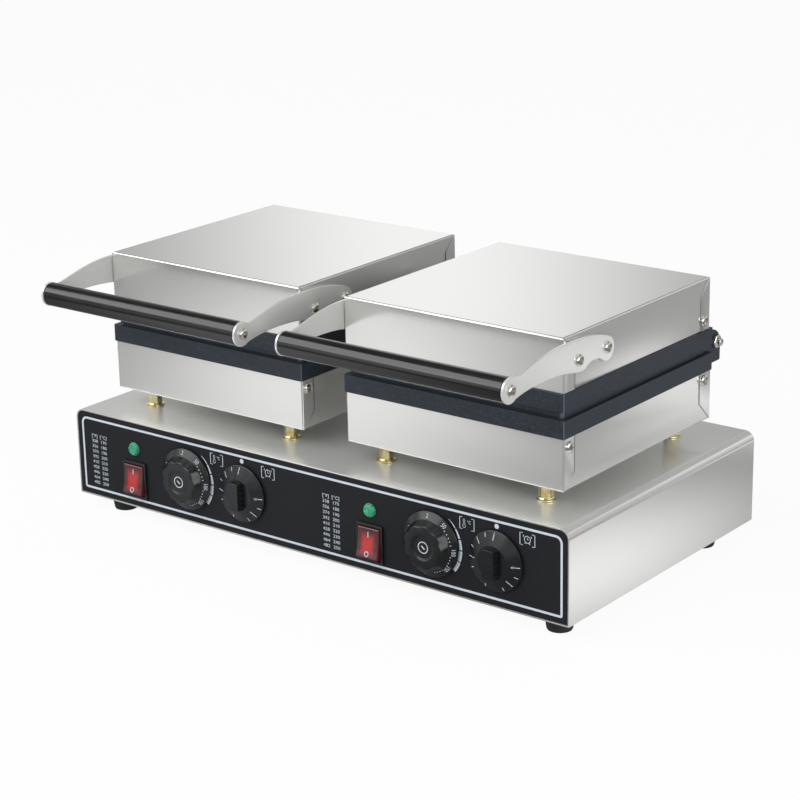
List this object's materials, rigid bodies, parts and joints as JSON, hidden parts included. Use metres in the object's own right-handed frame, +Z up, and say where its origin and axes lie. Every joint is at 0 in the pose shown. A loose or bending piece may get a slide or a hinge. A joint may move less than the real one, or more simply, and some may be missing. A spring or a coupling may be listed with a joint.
{
  "type": "double waffle maker",
  "caption": "Countertop double waffle maker: hinged cookers with cast waffle plates and bar-grip lids stand on hexagon posts over a shared control cabinet.",
  "frame": {"origin": "on the floor, under the middle of the machine's overall box with the lids shut", "axes": "+X to the machine's right as seen from the front, +Y towards the hinges at the back, +Z up; the control panel faces -Y"},
  "size_m": [0.5, 0.3348, 0.2207],
  "materials": {
    "stainless": "polished stainless sheet, folded",
    "panel_black": "black fine-textured panel with a pale border line",
    "casting": "cast plate with a blue-black non-stick coat",
    "yellow_zinc": "steel, bright yellow zinc plate",
    "foot_rubber": "black moulded rubber",
    "grip_black": "black glossy heat-proof plastic bar",
    "knob_black": "black satin moulded plastic with white print",
    "switch_black": "black moulded nylon",
    "rocker_red": "red translucent moulded plastic",
    "lamp_green": "green translucent lens",
    "plated_steel": "zinc-plated steel",
    "element_sheath": "heat-tinted steel sheath",
    "thermostat_metal": "pressed metal can",
    "timer_body": "moulded nylon case",
    "nylon": "moulded nylon"
  },
  "bodies": {
    "cabinet": {"cabinet_shell": "stainless", "cabinet_bottom": "stainless", "cabinet_rear": "stainless", "control_panel": "panel_black", "cable_gland": "nylon", "terminal_block": "nylon", "foot_front_left": "foot_rubber", "foot_front_right": "foot_rubber", "foot_rear_left": "foot_rubber", "foot_rear_right": "foot_rubber", "post_left_front_left": "yellow_zinc", "post_left_front_right": "yellow_zinc", "post_left_rear_left": "yellow_zinc", "post_left_rear_right": "yellow_zinc", "switch_body_left": "switch_black", "lamp_left": "lamp_green", "thermostat_left": "thermostat_metal", "timer_left": "timer_body", "lower_housing_left": "stainless", "lower_plate_left": "casting", "lower_element_left": "element_sheath", "hinge_rod_left": "plated_steel", "hinge_nut_left_inner": "plated_steel", "hinge_nut_left_outer": "plated_steel", "post_right_front_left": "yellow_zinc", "post_right_front_right": "yellow_zinc", "post_right_rear_left": "yellow_zinc", "post_right_rear_right": "yellow_zinc", "switch_body_right": "switch_black", "lamp_right": "lamp_green", "thermostat_right": "thermostat_metal", "timer_right": "timer_body", "lower_housing_right": "stainless", "lower_plate_right": "casting", "lower_element_right": "element_sheath", "hinge_rod_right": "plated_steel", "hinge_nut_right_inner": "plated_steel", "hinge_nut_right_outer": "plated_steel"},
    "lid_left": {"upper_plate_left": "casting", "upper_element_left": "element_sheath", "lid_cover_left": "stainless", "arm_left_inner": "stainless", "arm_left_outer": "stainless", "grip_left": "grip_black"},
    "switch_left": {"rocker_left": "rocker_red"},
    "thermostat_dial_left": {"thermostat_knob_left": "knob_black"},
    "timer_dial_left": {"timer_knob_left": "knob_black"},
    "lid_right": {"upper_plate_right": "casting", "upper_element_right": "element_sheath", "lid_cover_right": "stainless", "arm_right_inner": "stainless", "arm_right_outer": "stainless", "grip_right": "grip_black"},
    "switch_right": {"rocker_right": "rocker_red"},
    "thermostat_dial_right": {"thermostat_knob_right": "knob_black"},
    "timer_dial_right": {"timer_knob_right": "knob_black"}
  },
  "joints": [
    {"name": "lid_hinge_left", "type": "hinge", "parent": "cabinet", "child": "lid_left", "pos_m": [-0.12415, 0.1397, 0.1614], "axis": [-1, 0, 0], "range_deg": [0, 95]},
    {"name": "switch_rock_left", "type": "hinge", "parent": "cabinet", "child": "switch_left", "pos_m": [-0.1836, -0.11485, 0.03681], "axis": [1, 0, 0], "range_deg": [0, 18]},
    {"name": "thermostat_turn_left", "type": "hinge", "parent": "cabinet", "child": "thermostat_dial_left", "pos_m": [-0.12448, -0.11655, 0.04975], "axis": [0, 1, 0], "range_deg": [0, 280]},
    {"name": "timer_turn_left", "type": "hinge", "parent": "cabinet", "child": "timer_dial_left", "pos_m": [-0.06427, -0.11655, 0.04975], "axis": [0, 1, 0], "range_deg": [0, 300]},
    {"name": "lid_hinge_right", "type": "hinge", "parent": "cabinet", "child": "lid_right", "pos_m": [0.12415, 0.1397, 0.1614], "axis": [-1, 0, 0], "range_deg": [0, 95]},
    {"name": "switch_rock_right", "type": "hinge", "parent": "cabinet", "child": "switch_right", "pos_m": [0.0664, -0.11485, 0.03681], "axis": [1, 0, 0], "range_deg": [0, 18]},
    {"name": "thermostat_turn_right", "type": "hinge", "parent": "cabinet", "child": "thermostat_dial_right", "pos_m": [0.12552, -0.11655, 0.04975], "axis": [0, 1, 0], "range_deg": [0, 280]},
    {"name": "timer_turn_right", "type": "hinge", "parent": "cabinet", "child": "timer_dial_right", "pos_m": [0.18573, -0.11655, 0.04975], "axis": [0, 1, 0], "range_deg": [0, 300]}
  ]
}
